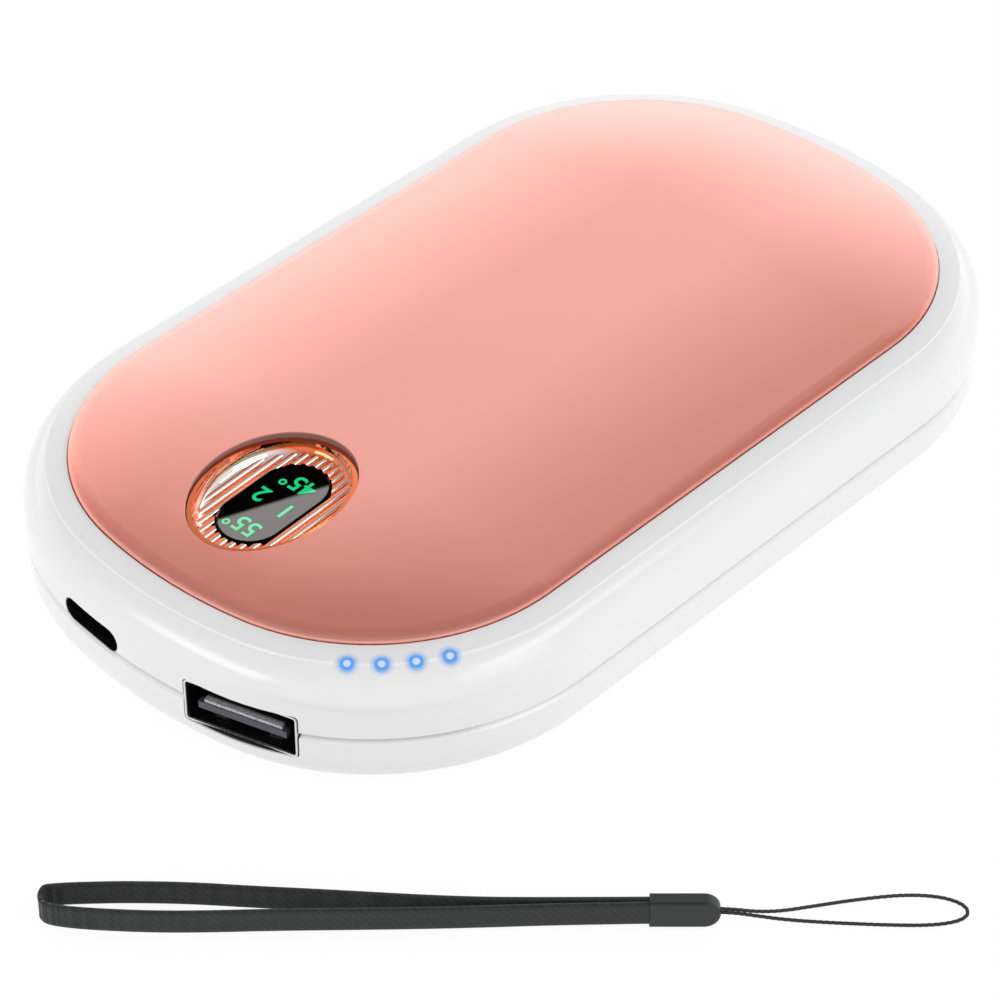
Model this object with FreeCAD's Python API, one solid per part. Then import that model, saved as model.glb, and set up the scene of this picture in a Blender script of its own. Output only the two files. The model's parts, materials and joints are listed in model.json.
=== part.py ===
import FreeCAD, Part
import math
import os

# Rechargeable hand warmer, in millimetres. X runs across it, Y along it with the
# sockets at -Y, and Z up from the face that it rests on.

V = FreeCAD.Vector
UP = V(0, 0, 1)

# Outline of the heat plates: straight sides, corner arcs and a flatter end arc.
plate_half_width = 29.0
side_half_length = 27.1
corner_radius = 23.5
end_radius = 54.8

# Shells
rim_width = 4.8
wall = 1.9
parting_height = 7.2
upper_height = 8.35
lower_rim = 0.3
lower_turn = 52.0
rest_land = 0.8
plate_gap = 0.1
ledge_width = 2.7
ledge_thickness = 1.2
inner_chamfer = 1.2
groove = 0.45
lip_thickness = 0.85
lip_height = 1.2
lip_gap = 0.1
ridge_offset = 2.3
ridge_width = 0.12
ridge_height = 0.24

# Heat plates
plate_edge = 1.0
plate_proud = 0.15
plate_round_run = 1.4
plate_round_rise = 0.75
dome_flat = 2.5
dome_rise = 2.7
dome_drop = 0.75
dome_shoulder = 0.33
dome_crown = 0.64
hole_chamfer = 0.08
bottom_plate_thickness = 0.85
bottom_plate_recess = 0.15
bottom_round = 0.4
bottom_round_run = 3.0
bottom_round_pull = 0.15

# Heaters and pads
heater_inset = 3.5
heater_thickness = 0.2
pad_inset = 4.2
bottom_pad_thickness = 1.0
thermistor_size = (2.4, 3.2, 1.0)
thermistor_round = 0.5
thermistor_place = (15.5, -27.0)

# Display button
button_end_room = 14.887
button_rx = 7.55
button_ry = 9.45
button_gap = 0.12
button_travel = 0.4
button_tilt = 3.0
rim_drop = 0.3
rim_sag = 0.35
rim_lean = 1.2
rim_land = 0.5
rim_flare = 0.3
rim_flare_height = 0.8
dish_cove_run = 1.2
dish_depth = 1.9
rib_pitch = 0.975
rib_radius = 0.38
flange_width = 1.0
flange_thickness = 0.7
flange_clearance = 0.15
window_width = 7.4
window_length = 13.4
window_thickness = 1.5
window_recess = 1.42
window_gap = 0.08
window_bevel = 0.25
legend_thickness = 0.15
light_box_inset = 0.15
light_box_height = 1.6
lamp_well = (2.2, 2.6)
lamp_offset_x = 1.75
lamp_offset_y = 4.2

# Display board, lamps and switches
display_board_size = (22.0, 24.0, 0.8)
display_board_round = 1.5
lamp_size = (1.6, 0.8, 0.4)
switch_x = 6.6
switch_size = (4.2, 4.2)
switch_floor = 0.12
switch_play = 0.15
plunger_radius = 1.0
plunger_gap = 0.06
display_screw_inset = 2.0

# Battery and its tray
battery_side_room = 7.0
battery_front_room = 6.0
battery_height = 8.8
battery_end_room = 8.287
battery_play = 0.3
battery_radius = 3.0
tray_wall = 1.2
tray_floor = 0.8
tray_wall_height = 7.0
ear_thickness = 1.2
shelf_thickness = 1.0
shelf_rib = 1.4
shelf_rib_length = 9.0
lead_notch = 9.0
lead_notch_rise = 2.5

# Main board, whose parts are placed from the middle of its rear edge
board_thickness = 1.2
board_gap = 0.5
board_rear_gap = 1.8
inductor_size = (7.0, 7.0, 2.8)
inductor_round = 1.2
inductor_place = (-16.0, -9.5)
chip_size = (4.0, 4.0, 0.9)
chip_places = ((-3.5, -8.5), (4.5, -6.0))
chip_boss_offset = (6.151, 2.517)
capacitor_size = (3.2, 2.5, 1.6)
capacitor_places = ((-8.0, -16.5), (-3.0, -16.5), (14.0, -11.5), (18.5, -11.5))

# Sockets
usb_a_angle = 15.2
usb_a_rise = -0.2
usb_a_recess = 0.6
usb_a_opening = (12.26, 4.72)
usb_a_sheet = 0.2
usb_a_round = 0.5
usb_a_gap = 0.1
usb_a_depth = 13.8
usb_a_tongue_size = (9.9, 8.85, 0.8)
usb_a_tongue_rise = -0.46
usb_a_pad_size = (8.7, 7.4, 0.35)
usb_a_pad_inset = 0.15
usb_a_block_depth = 4.4
usb_a_tab = (1.4, 3.0, 0.3)
spring_slot = (1.9, 4.6)
spring_gap = 0.3
spring_front = 0.9
spring_lift = 0.12
spring_x = 3.1
contact_size = (1.0, 7.2, 0.25)
contact_places = (-3.5, -1.0, 1.0, 3.5)
usb_c_spacing = 19.615
usb_c_rise = 1.4
usb_c_recess = 0.9
usb_c_opening = (8.4, 2.6)
usb_c_sheet = 0.3
usb_c_nose_sheet = 0.1
usb_c_nose_recess = 0.2
usb_c_nose_gap = 0.02
usb_c_depth = 7.4
usb_c_tongue_size = (6.7, 4.6, 0.7)
usb_c_block_depth = 2.4
socket_gap = 0.15

# Indicator lights in the shoulder
light_count = 4
light_first_angle = 37.8
light_step = 7.37
light_radius = 0.6
light_hole_gap = 0.05
light_length = 2.9
light_lamp_gap = 0.1
light_lamp_size = (0.9, 1.7, 0.6)
strip_inner = 4.2
strip_outer = 0.4
strip_margin = 6.0
strip_thickness = 0.8
stake_radius = 1.1
stake_pin_radius = 0.5
stake_offset = -0.4
stake_angle_margin = 4.0
stake_pin_length = 1.2

# Screws and bosses
case_screw_front = 4.7
case_screw_rear = 19.3
case_boss_radius = 2.4
case_boss_gap = 0.7
case_screw_radius = 1.0
case_head_radius = 1.75
case_head_height = 1.2
case_screw_length = 9.5
board_boss_radius = 2.2
board_boss_angle = 56.0
board_boss_rear = 3.6
board_boss_inset = 0.4
board_screw_radius = 0.8
board_screw_length = 4.2
small_head_radius = 1.5
small_head_height = 0.9
display_screw_radius = 0.6
screw_gap = 0.05

# Lanyard pocket in the end away from the sockets
pocket_width = 6.4
pocket_height = 4.0
pocket_depth = 3.6
pocket_wall = 1.2
pin_radius = 0.8
pin_inset = 1.6
pin_seat = 1.0

# Leads
lead_radius = 0.6
lead_pitch = 2.2
lead_rise = 1.0
lead_run = 2.4
heater_lead_x = 19.0
heater_lead_inset = 3.2
heater_lead_sway = 0.8
lead_hole_gap = 0.2
pad_boss_gap = 0.4

# Wrist strap, lying on the surface beside the warmer along its own line
strap_angle = 42.53
band_width = 2.65
band_thickness = 0.5
strap_cord_diameter = 0.38
crimp_start = 12.2
crimp_length = 6.7
crimp_height = 3.2
crimp_thickness = 1.6
crimp_reach = 68.94
crimp_edge_round = 0.3

# How far a cutting block runs past what it cuts
over = 1.0


def polar(centre, radius, degrees):
    a = math.radians(degrees)
    return V(centre[0] + radius * math.cos(a), centre[1] + radius * math.sin(a), 0)


corner_x = plate_half_width - corner_radius
join = math.degrees(math.acos(corner_x / (end_radius - corner_radius)))
end_y = side_half_length - (end_radius - corner_radius) * math.sin(math.radians(join))
half_length = end_y + end_radius
button_y = button_end_room - half_length
battery_front = button_y + display_board_size[1] / 2 + battery_front_room
battery_length = half_length - battery_end_room - battery_front
battery_y = battery_front + battery_length / 2

# The outline in order, anticlockwise: (centre, radius, first angle, last angle) or two points.
OUTLINE = (
    ((plate_half_width, -side_half_length), (plate_half_width, side_half_length)),
    ((corner_x, side_half_length), corner_radius, 0, join),
    ((0, end_y), end_radius, join, 180 - join),
    ((-corner_x, side_half_length), corner_radius, 180 - join, 180),
    ((-plate_half_width, side_half_length), (-plate_half_width, -side_half_length)),
    ((-corner_x, -side_half_length), corner_radius, 180, 180 + join),
    ((0, -end_y), end_radius, 180 + join, 360 - join),
    ((corner_x, -side_half_length), corner_radius, 360 - join, 360),
)


def outline_face(offset, z):
    """Face inside the plate outline moved outwards by offset, at height z."""
    edges = []
    for item in OUTLINE:
        if len(item) == 2:
            out = math.copysign(1, item[0][0])
            ends = [V(p[0] + out * offset, p[1], z) for p in item]
            edges.append(Part.LineSegment(ends[0], ends[1]).toShape())
            continue
        centre, radius, first, last = item
        points = [polar(centre, radius + offset, a) + UP * z for a in (first, (first + last) / 2, last)]
        edges.append(Part.Arc(points[0], points[1], points[2]).toShape())
    return Part.Face(Part.Wire(Part.__sortEdges__(edges)))


def slab(offset, low, high):
    return outline_face(offset, low).extrude(UP * (high - low))


def profile_face(start, steps):
    """Face in the plane of s outwards and z up. A step is a point, or (points..., kind)."""
    edges = []
    here = start
    for step in steps:
        if step[-1] == "arc":
            edges.append(Part.Arc(V(here[0], 0, here[1]), V(step[0][0], 0, step[0][1]),
                                  V(step[1][0], 0, step[1][1])).toShape())
            here = step[1]
        elif step[-1] == "curve":
            curve = Part.BezierCurve()
            curve.setPoles([V(p[0], 0, p[1]) for p in (here,) + step[:-1]])
            edges.append(curve.toShape())
            here = step[-2]
        else:
            edges.append(Part.LineSegment(V(here[0], 0, here[1]), V(step[0], 0, step[1])).toShape())
            here = step
    edges.append(Part.LineSegment(V(here[0], 0, here[1]), V(start[0], 0, start[1])).toShape())
    return Part.Face(Part.Wire(edges))


def ring(face):
    """The profile carried all the way round the outline."""
    pieces = []
    for item in OUTLINE:
        piece = face.copy()
        if len(item) == 2:
            first, last = V(item[0][0], item[0][1], 0), V(item[1][0], item[1][1], 0)
            along = last - first
            piece.rotate(V(), UP, math.degrees(math.atan2(-along.x, along.y)))
            piece.translate(first)
            pieces.append(piece.extrude(along))
            continue
        centre, radius, first, last = item
        piece.translate(V(radius, 0, 0))
        piece.rotate(V(), UP, first)
        piece.translate(V(centre[0], centre[1], 0))
        pieces.append(piece.revolve(V(centre[0], centre[1], 0), UP, last - first))
    return pieces[0].multiFuse(pieces[1:]).removeSplitter()


def box(centre, size, low):
    return Part.makeBox(size[0], size[1], size[2],
                        V(centre[0] - size[0] / 2, centre[1] - size[1] / 2, low))


def rounded_box(centre, size, low, radius):
    solid = box(centre, size, low)
    upright = [e for e in solid.Edges if abs(e.tangentAt(e.FirstParameter).z) > 0.99]
    return solid.makeFillet(radius, upright)


def post(x, y, low, high, radius):
    return Part.makeCylinder(radius, high - low, V(x, y, low))


def oval_wire(rx, ry, z):
    wide = Part.Ellipse(V(0, button_y, z), ry, rx)
    edge = wide.toShape()
    edge.rotate(V(0, button_y, z), UP, 90)
    return Part.Wire(edge)


def oval(rx, ry, low, high):
    return Part.Face(oval_wire(rx, ry, low)).extrude(UP * (high - low))


def pill(centre, width, length, low, high):
    """Upright prism with round ends, long along Y."""
    r = width / 2
    reach = length / 2 - r
    body = Part.makeBox(width, 2 * reach, high - low, V(centre[0] - r, centre[1] - reach, low))
    ends = [post(centre[0], centre[1] + s * reach, low, high, r) for s in (-1, 1)]
    return body.multiFuse(ends).removeSplitter()


def flat_pill(width, height, front, depth):
    """Level prism along Y with round sides, centred on X and Z."""
    r = height / 2
    reach = width / 2 - r
    body = Part.makeBox(2 * reach, depth, height, V(-reach, front, -r))
    ends = [Part.makeCylinder(r, depth, V(s * reach, front, 0), V(0, 1, 0)) for s in (-1, 1)]
    return body.multiFuse(ends).removeSplitter()


def screw(x, y, seat, down, radius, head_radius, head_height):
    """Screw with its head above the seat; down is -1 with the head on top, +1 underneath."""
    shank = Part.makeCylinder(radius, down[1], V(x, y, seat), UP * down[0])
    head = Part.makeCylinder(head_radius, head_height, V(x, y, seat), UP * -down[0])
    top = seat - down[0] * head_height
    slot = box((x, y), (head_radius * 1.2, head_radius * 0.3, head_height * 0.8), top - head_height * 0.4)
    slots = slot.fuse(box((x, y), (head_radius * 0.3, head_radius * 1.2, head_height * 0.8),
                          top - head_height * 0.4))
    return shank.fuse(head).cut(slots).removeSplitter()


def route(points):
    """Path of straight runs joined by arcs as large as the runs allow."""
    points = [V(*p) for p in points]
    edges = []
    radii = []
    here = points[0]
    for before, point, after in zip(points, points[1:], points[2:]):
        into, out = point - before, after - point
        turn = into.getAngle(out)
        reach = 0.45 * min(into.Length, out.Length)
        into.normalize()
        out.normalize()
        first, last = point - into * reach, point + out * reach
        inner = out - into
        inner.normalize()
        radius = reach / math.tan(turn / 2)
        radii.append(round(radius, 2))
        middle = point + inner * (math.hypot(radius, reach) - radius)
        edges.append(Part.LineSegment(here, first).toShape())
        edges.append(Part.Arc(first, middle, last).toShape())
        here = last
    edges.append(Part.LineSegment(here, points[-1]).toShape())
    return Part.Wire(edges), radii


def tube(points, radius):
    path, radii = route(points)
    start = path.OrderedEdges[0]
    section = Part.Wire(Part.Circle(V(*points[0]), start.tangentAt(start.FirstParameter), radius).toShape())
    return path.makePipeShell([section], True, False), path, radii


# Heights
rim_z = parting_height + upper_height
plate_rim_z = rim_z + plate_proud
plate_floor = plate_rim_z - plate_edge
plate_top = plate_rim_z + dome_rise
inner = rim_width - wall
roof = plate_floor - ledge_thickness
bottom_plate_top = bottom_plate_recess + bottom_plate_thickness
lower_ledge = bottom_plate_top + ledge_thickness
shoulder = rim_width - plate_gap

# Upper shell
shoulder_z = rim_z - shoulder
ridge_out = ridge_offset + ridge_width
ridge_z = shoulder_z + math.sqrt(shoulder ** 2 - (ridge_out - plate_gap) ** 2)
half_turn = math.acos((ridge_out - plate_gap) / shoulder) / 2
arc_middle = (plate_gap + shoulder * math.cos(half_turn), shoulder_z + shoulder * math.sin(half_turn))
rebate = inner + lip_thickness + lip_gap
upper_shell = ring(profile_face((rebate, parting_height), (
    (rim_width - groove, parting_height),
    (rim_width, parting_height + groove),
    (rim_width, shoulder_z),
    (arc_middle, (ridge_out, ridge_z), "arc"),
    (ridge_offset, ridge_z + ridge_height),
    (plate_gap, rim_z),
    (plate_gap, plate_floor),
    (-ledge_width, plate_floor),
    (-ledge_width, roof),
    (inner - inner_chamfer, roof),
    (inner, roof - inner_chamfer),
    (inner, parting_height + lip_height + lip_gap),
    (rebate, parting_height + lip_height + lip_gap),
)))

# Lower shell
lower_z = lower_rim + shoulder
low_turn = math.radians(lower_turn)
low_point = (plate_gap + shoulder * math.cos(low_turn), lower_z - shoulder * math.sin(low_turn))
low_middle = (plate_gap + shoulder * math.cos(low_turn / 2), lower_z - shoulder * math.sin(low_turn / 2))
lower_shell = ring(profile_face((plate_gap, 0), (
    (plate_gap + rest_land, 0),
    ((low_point[0] - low_point[1] * math.tan(low_turn), 0), low_point, "curve"),
    (low_middle, (rim_width, lower_z), "arc"),
    (rim_width, parting_height - groove),
    (rim_width - groove, parting_height),
    (inner + lip_thickness, parting_height),
    (inner + lip_thickness, parting_height + lip_height),
    (inner, parting_height + lip_height),
    (inner, lower_ledge + inner_chamfer),
    (inner - inner_chamfer, lower_ledge),
    (-ledge_width, lower_ledge),
    (-ledge_width, bottom_plate_top),
    (plate_gap, bottom_plate_top),
)))

# Heat plates
dome_width = corner_radius - dome_flat
dome_start = (-plate_round_run, plate_rim_z + plate_round_rise)
dome_point = (-dome_width * dome_shoulder, plate_top - dome_drop)
dome_slope = (dome_point[1] - dome_start[1]) / (dome_start[0] - dome_point[0])
round_run = plate_round_run * 0.5


def domed(floor):
    """Solid under the dome of the upper plate, down to a flat floor."""
    edge = ring(profile_face((0, floor), (
        (0, plate_rim_z),
        ((0, plate_rim_z + plate_round_rise * 0.55),
         (dome_start[0] + round_run, dome_start[1] - dome_slope * round_run), dome_start, "curve"),
        (dome_point, (-dome_width * dome_crown, plate_top), (-dome_width, plate_top), "curve"),
        (-dome_width, floor),
    )))
    return edge.fuse(slab(-dome_width, floor, plate_top)).removeSplitter()


hole_rx, hole_ry = button_rx + button_gap, button_ry + button_gap
top_plate = domed(plate_floor).cut(oval(hole_rx, hole_ry, plate_floor - over, plate_top + over))
hole_edges = []
for e in top_plate.Edges:
    middle = e.valueAt((e.FirstParameter + e.LastParameter) / 2)
    across = (middle.x / hole_rx) ** 2 + ((middle.y - button_y) / hole_ry) ** 2
    if abs(across - 1) < 0.01 and middle.z > plate_rim_z:
        hole_edges.append(e)
top_plate = top_plate.makeChamfer(hole_chamfer, hole_edges)
bottom_plate = ring(profile_face((0, bottom_plate_top), (
    (0, bottom_plate_recess + bottom_round),
    ((-bottom_round_pull, bottom_plate_recess), (-bottom_round_run / 3, bottom_plate_recess),
     (-bottom_round_run, bottom_plate_recess), "curve"),
    (-bottom_round_run, bottom_plate_top),
)))
bottom_plate = bottom_plate.fuse(slab(-bottom_round_run, bottom_plate_recess, bottom_plate_top))
bottom_plate = bottom_plate.removeSplitter()

# Heaters and pads
flange_rx = button_rx + flange_width
flange_ry = button_ry + flange_width
top_heater = slab(-heater_inset, plate_floor - heater_thickness, plate_floor)
heater_hole = oval(flange_rx + flange_width, flange_ry + flange_width, roof, plate_floor + over)
top_heater = top_heater.cut(heater_hole)
pad_low = bottom_plate_top + heater_thickness
bottom_heater = slab(-heater_inset, bottom_plate_top, pad_low)
bottom_pad = slab(-pad_inset, pad_low, pad_low + bottom_pad_thickness)
thermistor_low = plate_floor - heater_thickness - thermistor_size[2]
thermistor = rounded_box(thermistor_place, thermistor_size, thermistor_low, thermistor_round)

# Battery, tray and upper pad
battery_size = (2 * (plate_half_width - battery_side_room), battery_length, battery_height)
tray_low = pad_low + bottom_pad_thickness
battery_low = tray_low + tray_floor
battery_top = battery_low + battery_size[2]
battery_cell = rounded_box((0, battery_y), battery_size, battery_low, battery_radius)
bay = [battery_size[i] + 2 * battery_play for i in (0, 1)]
tray_size = [b + 2 * tray_wall for b in bay]
tray_front = battery_y - tray_size[1] / 2
case_screw_y = (tray_front + case_screw_front, tray_front + tray_size[1] - case_screw_rear)
top_pad_height = plate_floor - heater_thickness - battery_top
top_pad = rounded_box((0, battery_y), (battery_size[0], battery_size[1], top_pad_height), battery_top,
                      battery_radius)
top_pad = top_pad.common(slab(-pad_inset, battery_top, plate_floor))

# Display stack, from the plate downwards
flange_top = plate_floor - flange_clearance
flange_low = flange_top - flange_thickness
switch_top = flange_low - button_travel - switch_play
rim_high = plate_top - rim_drop - rim_sag
dish_floor = rim_high - dish_depth
window_high = rim_high - window_recess
window_low = window_high - window_thickness
legend_low = window_low - legend_thickness
light_box_low = legend_low - light_box_height
lamp_top = light_box_low - button_travel - switch_play
display_top = lamp_top - lamp_size[2]
display_low = display_top - display_board_size[2]
shelf_low = display_low - shelf_thickness
boss_x = tray_size[0] / 2 + case_boss_gap + case_boss_radius
ear_low = parting_height - ear_thickness

battery_tray = rounded_box((0, battery_y), (tray_size[0], tray_size[1], tray_floor + tray_wall_height),
                           tray_low, battery_radius + tray_wall)
battery_tray = battery_tray.cut(rounded_box((0, battery_y), (bay[0], bay[1], tray_wall_height + over),
                                            battery_low, battery_radius + battery_play))
ear_y_size = 2 * case_boss_radius
for side in (-1, 1):
    for y in case_screw_y:
        inside = tray_size[0] / 2 - tray_wall / 2
        ear = box((side * (inside + boss_x) / 2, y), (boss_x - inside, ear_y_size, ear_thickness), ear_low)
        ear = ear.fuse(post(side * boss_x, y, ear_low, parting_height, case_boss_radius))
        battery_tray = battery_tray.fuse(ear)
        battery_tray = battery_tray.cut(post(side * boss_x, y, ear_low - over, parting_height + over,
                                             case_screw_radius + screw_gap))
shelf_front = button_y - display_board_size[1] / 2
shelf_length = tray_front + tray_wall - shelf_front
shelf_x = display_board_size[0] / 2
shelf = box((0, shelf_front + shelf_length / 2), (2 * shelf_x, shelf_length, shelf_thickness), shelf_low)
front_wall = box((0, tray_front + tray_wall / 2), (2 * shelf_x, tray_wall, display_low - tray_low), tray_low)
battery_tray = battery_tray.multiFuse([shelf, front_wall])
for side in (-1, 1):
    rib = box((side * (shelf_x - shelf_rib / 2), tray_front - shelf_rib_length / 2),
              (shelf_rib, shelf_rib_length, shelf_thickness * 3), shelf_low - shelf_thickness * 2)
    battery_tray = battery_tray.fuse(rib)
board_top = parting_height + usb_c_rise - usb_c_opening[1] / 2 - usb_c_sheet
lead_z = board_top + lead_radius
notch_size = (lead_notch, 3 * tray_wall, lead_z + lead_notch_rise - battery_low)
notch = box((0, tray_front + tray_wall / 2), notch_size, battery_low)
battery_tray = battery_tray.cut(notch).removeSplitter()

# Display board with its lamps, switches and screws
display_board = rounded_box((0, button_y), display_board_size, display_low, display_board_round)
lamp_places = [(0, button_y + s * lamp_offset_y) for s in (-1, 1)]
lamp_places += [(s * lamp_offset_x, button_y) for s in (-1, 1)]
display_lamps = Part.makeCompound([box(p, lamp_size, display_top) for p in lamp_places])
switches = []
plungers = []
plunger_low = display_top + switch_floor + button_travel + switch_play / 2
for side in (-1, 1):
    x = side * switch_x
    body = box((x, button_y), (switch_size[0], switch_size[1], switch_top - display_top), display_top)
    bore = post(x, button_y, display_top + switch_floor, switch_top + over, plunger_radius + plunger_gap)
    switches.append(body.cut(bore))
    plungers.append(post(x, button_y, plunger_low, flange_low, plunger_radius))
switch_bodies = Part.makeCompound(switches)
switch_plungers = Part.makeCompound(plungers)
display_screw_list = []
for side in (-1, 1):
    x = side * (display_board_size[0] / 2 - display_screw_inset)
    y = button_y - side * (display_board_size[1] / 2 - display_screw_inset)
    hole = post(x, y, shelf_low - over, display_top + over, display_screw_radius + screw_gap)
    display_board = display_board.cut(hole)
    battery_tray = battery_tray.cut(hole)
    display_screw_list.append(screw(x, y, display_top, (-1, display_top - shelf_low), display_screw_radius,
                                    small_head_radius, small_head_height))
display_screws = Part.makeCompound(display_screw_list)



def tilted(shape):
    """Lean a piece of the button with the slope of the plate round it."""
    shape = shape.copy()
    shape.rotate(V(0, button_y, rim_high), V(1, 0, 0), button_tilt)
    return shape


# Button: rim that follows the dome, ribbed dish, dark window, legend film and light box
lowered_dome = domed(0)
lowered_dome.translate(V(0, 0, -rim_drop))
lowered_dome.rotate(V(0, button_y - button_ry, plate_rim_z), V(1, 0, 0), -rim_lean)
frame_blank = oval(button_rx, button_ry, flange_low, plate_top + over).common(lowered_dome)
frame_blank = frame_blank.fuse(oval(flange_rx, flange_ry, flange_low, flange_top))
land_rx, land_ry = button_rx - rim_land, button_ry - rim_land
cove_wires = []
for degrees in range(0, 91, 15):
    angle = math.radians(degrees)
    run = dish_cove_run * (1 - math.cos(angle))
    cove_wires.append(oval_wire(land_rx - run, land_ry - run, rim_high - dish_depth * math.sin(angle)))
dish = Part.makeLoft(cove_wires, True, False)
rib_count = int((land_rx - dish_cove_run / 2) / rib_pitch)
for i in range(-rib_count, rib_count + 1):
    rib_start = V(i * rib_pitch, button_y - button_ry, dish_floor)
    dish = dish.cut(Part.makeCylinder(rib_radius, 2 * button_ry, rib_start, V(0, 1, 0)))
flare_wires = [oval_wire(land_rx, land_ry, rim_high),
               oval_wire(land_rx + rim_flare, land_ry + rim_flare, rim_high + rim_flare_height)]
button_frame = frame_blank.cut(tilted(dish)).cut(tilted(Part.makeLoft(flare_wires, True, True)))
window_hole = pill((0, button_y), window_width + 2 * window_gap, window_length + 2 * window_gap,
                   flange_low - 2 * over, rim_high + 2 * over)
button_frame = button_frame.cut(tilted(window_hole)).removeSplitter()
display_window = pill((0, button_y), window_width, window_length, window_low, window_high)
bevelled = [e for e in display_window.Edges if abs(e.CenterOfMass.z - window_high) < 0.001]
display_window = tilted(display_window.makeChamfer(window_bevel, bevelled))
display_legend = tilted(pill((0, button_y), window_width, window_length, legend_low, window_low))
light_box_width, light_box_length = (size - 2 * light_box_inset for size in (window_width, window_length))
light_box = tilted(pill((0, button_y), light_box_width, light_box_length, light_box_low, legend_low))
for p in lamp_places:
    light_box = light_box.cut(box(p, (lamp_well[0], lamp_well[1], 3 * light_box_height),
                                  light_box_low - light_box_height))

# Main board: the smaller socket stands on it, and the larger one is sunk into it
board_low = board_top - board_thickness
board_rear = tray_front - board_rear_gap
main_board = slab(inner - board_gap, board_low, board_top)
reach = 2 * half_length
board_half = Part.makeBox(2 * reach, 2 * reach, plate_top, V(-reach, board_rear - 2 * reach, 0))
main_board = main_board.common(board_half)


def place(shape, angle, rise, recess):
    """Turn a socket piece square to the wall at its angle and set it in from the outside."""
    if abs(angle) < 90 - join:
        centre, radius = V(0, -end_y, 0), end_radius + rim_width
    else:
        centre, radius = V(math.copysign(corner_x, angle), -side_half_length, 0), corner_radius + rim_width
    out = V(math.sin(math.radians(angle)), -math.cos(math.radians(angle)), 0)
    shape = shape.copy()
    shape.rotate(V(), UP, angle)
    shape.translate(centre + out * (radius - recess) + UP * (parting_height + rise))
    return shape


# The smaller socket keeps its distance from the larger one along the end wall
usb_c_x = corner_x + (corner_radius + rim_width) * math.sin(math.radians(usb_a_angle)) - usb_c_spacing
usb_c_angle = math.degrees(math.asin(usb_c_x / (end_radius + rim_width)))
if abs(usb_c_angle) >= 90 - join:
    sine = (abs(usb_c_x) - corner_x) / (corner_radius + rim_width)
    usb_c_angle = math.copysign(math.degrees(math.asin(sine)), usb_c_x)


def level(centre_z, size, front):
    """Box centred on X, with its front at Y = front, in a socket's own frame."""
    return Part.makeBox(size[0], size[1], size[2], V(-size[0] / 2, front, centre_z - size[2] / 2))


def sides_rounded(solid, radius):
    """Round the edges that run along a socket."""
    along = [e for e in solid.Edges if abs(e.tangentAt(e.FirstParameter).y) > 0.99]
    return solid.makeFillet(radius, along)


# Larger socket: folded steel shell with spring fingers, tongue and four contacts
a_out = (usb_a_opening[0] + 2 * usb_a_sheet, usb_a_opening[1] + 2 * usb_a_sheet)
a_shell = sides_rounded(level(0, (a_out[0], usb_a_depth, a_out[1]), 0), usb_a_round)
a_room = level(0, (usb_a_opening[0], usb_a_depth - usb_a_sheet, usb_a_opening[1]), 0)
a_shell = a_shell.cut(sides_rounded(a_room, usb_a_round - usb_a_sheet))
for side in (-1, 1):
    slot = level(side * a_out[1] / 2, (spring_slot[0], spring_slot[1], 3 * usb_a_sheet), spring_front)
    finger_size = (spring_slot[0] - 2 * spring_gap, spring_slot[1], usb_a_sheet)
    finger_rise = side * (a_out[1] / 2 - usb_a_sheet / 2 - spring_lift)
    finger = level(finger_rise, finger_size, spring_front + 2 * spring_gap)
    for x in (-spring_x, spring_x):
        a_shell = a_shell.cut(slot.translated(V(x, 0, 0))).fuse(finger.translated(V(x, 0, 0)))
    tab = level(board_top - parting_height - usb_a_rise + usb_a_tab[2] / 2, usb_a_tab, usb_a_depth / 2)
    tab.translate(V(side * (a_out[0] + usb_a_tab[0]) / 2, 0, 0))
    a_shell = a_shell.fuse(tab)
a_block_front = usb_a_depth - usb_a_sheet - usb_a_block_depth
a_tongue = level(usb_a_tongue_rise,
                 (usb_a_tongue_size[0], usb_a_tongue_size[1] + usb_a_block_depth, usb_a_tongue_size[2]),
                 a_block_front - usb_a_tongue_size[1])
a_block = level(0, (usb_a_opening[0] - socket_gap, usb_a_block_depth, usb_a_opening[1] - socket_gap),
                a_block_front)
a_block = sides_rounded(a_block, usb_a_round - usb_a_sheet)
a_pad = level(usb_a_tongue_rise + (usb_a_tongue_size[2] + usb_a_pad_size[2]) / 2, usb_a_pad_size,
              a_block_front - usb_a_tongue_size[1] + usb_a_pad_inset)
a_tongue = a_tongue.multiFuse([a_block, a_pad]).removeSplitter()
contact_z = usb_a_tongue_rise - usb_a_tongue_size[2] / 2 - contact_size[2] / 2
contact_front = a_block_front - contact_size[1]
contacts = []
for x in contact_places:
    strip = level(contact_z, contact_size, contact_front)
    strip.translate(V(x, 0, 0))
    contacts.append(place(strip, usb_a_angle, usb_a_rise, usb_a_recess))
usb_a_shell = place(a_shell.removeSplitter(), usb_a_angle, usb_a_rise, usb_a_recess)
usb_a_tongue = place(a_tongue, usb_a_angle, usb_a_rise, usb_a_recess)
usb_a_contacts = Part.makeCompound(contacts)
a_hole = level(0, (a_out[0] + 2 * usb_a_gap, 2 * usb_a_depth, a_out[1] + 2 * usb_a_gap), -usb_a_depth)
a_hole = place(sides_rounded(a_hole, usb_a_round), usb_a_angle, usb_a_rise, usb_a_recess)

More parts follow.
